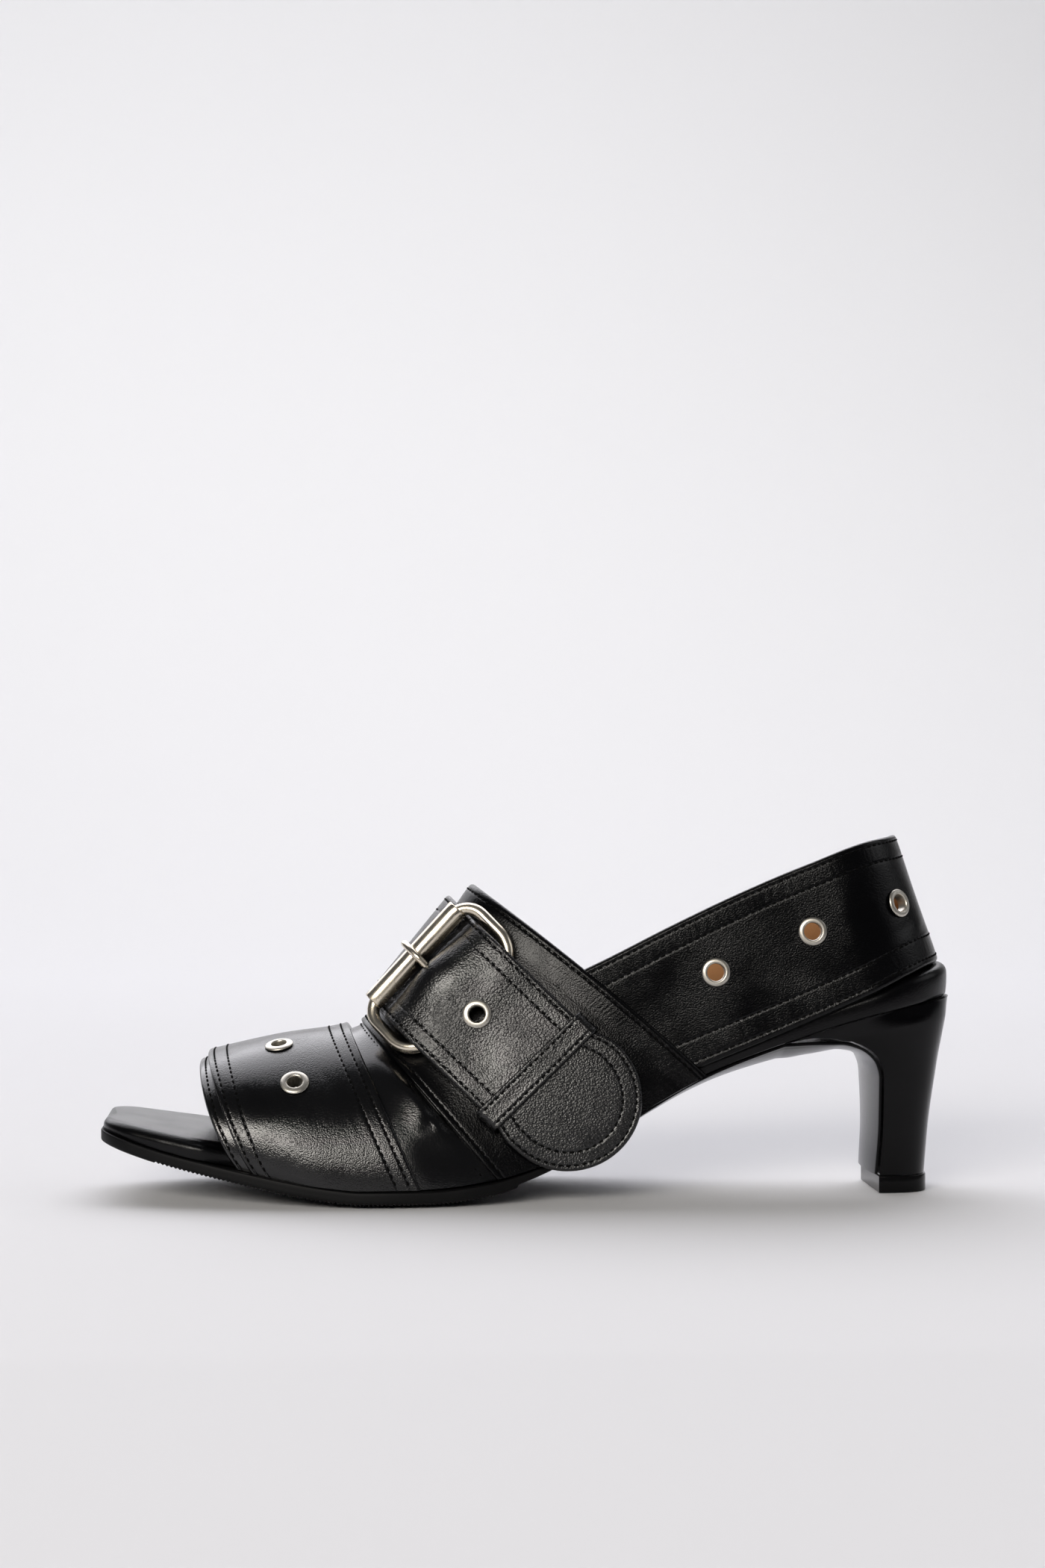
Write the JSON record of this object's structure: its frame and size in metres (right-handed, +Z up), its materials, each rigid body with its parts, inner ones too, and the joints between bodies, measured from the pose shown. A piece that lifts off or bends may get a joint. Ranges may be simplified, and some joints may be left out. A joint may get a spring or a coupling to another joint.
{
  "type": "heeled buckle sandal",
  "caption": "Open-toe leather sandal on a slim heel, with a wide toe band, a punched heel counter and a buckled strap over the instep.",
  "frame": {"origin": "bottom centre of the bounding box, on the floor under the middle of the shoe", "axes": "+X from toe to heel, +Y from the outer side to the inner side of the foot, +Z up"},
  "size_m": [0.2402, 0.0818, 0.102],
  "materials": {
    "sole_rubber": "matt black moulded rubber",
    "smooth_leather": "smooth black leather with a soft sheen",
    "grained_leather": "finely grained black leather, semi-gloss",
    "buckle_metal": "polished pale nickel, a little warm",
    "eyelet_metal": "satin nickel"
  },
  "bodies": {
    "root": {"outsole": "sole_rubber", "top_piece": "sole_rubber", "heel": "smooth_leather", "insole": "smooth_leather", "upper": "grained_leather", "buckle_strap": "grained_leather", "keeper": "grained_leather", "buckle_frame": "buckle_metal", "buckle_roller": "buckle_metal", "buckle_prong": "buckle_metal", "eyelet_counter_1": "eyelet_metal", "eyelet_counter_2": "eyelet_metal", "eyelet_counter_3": "eyelet_metal", "eyelet_counter_4": "eyelet_metal", "eyelet_counter_5": "eyelet_metal", "eyelet_counter_6": "eyelet_metal", "eyelet_toe_1": "eyelet_metal", "eyelet_toe_2": "eyelet_metal", "eyelet_toe_3": "eyelet_metal", "eyelet_toe_4": "eyelet_metal", "eyelet_strap": "eyelet_metal"}
  },
  "joints": []
}
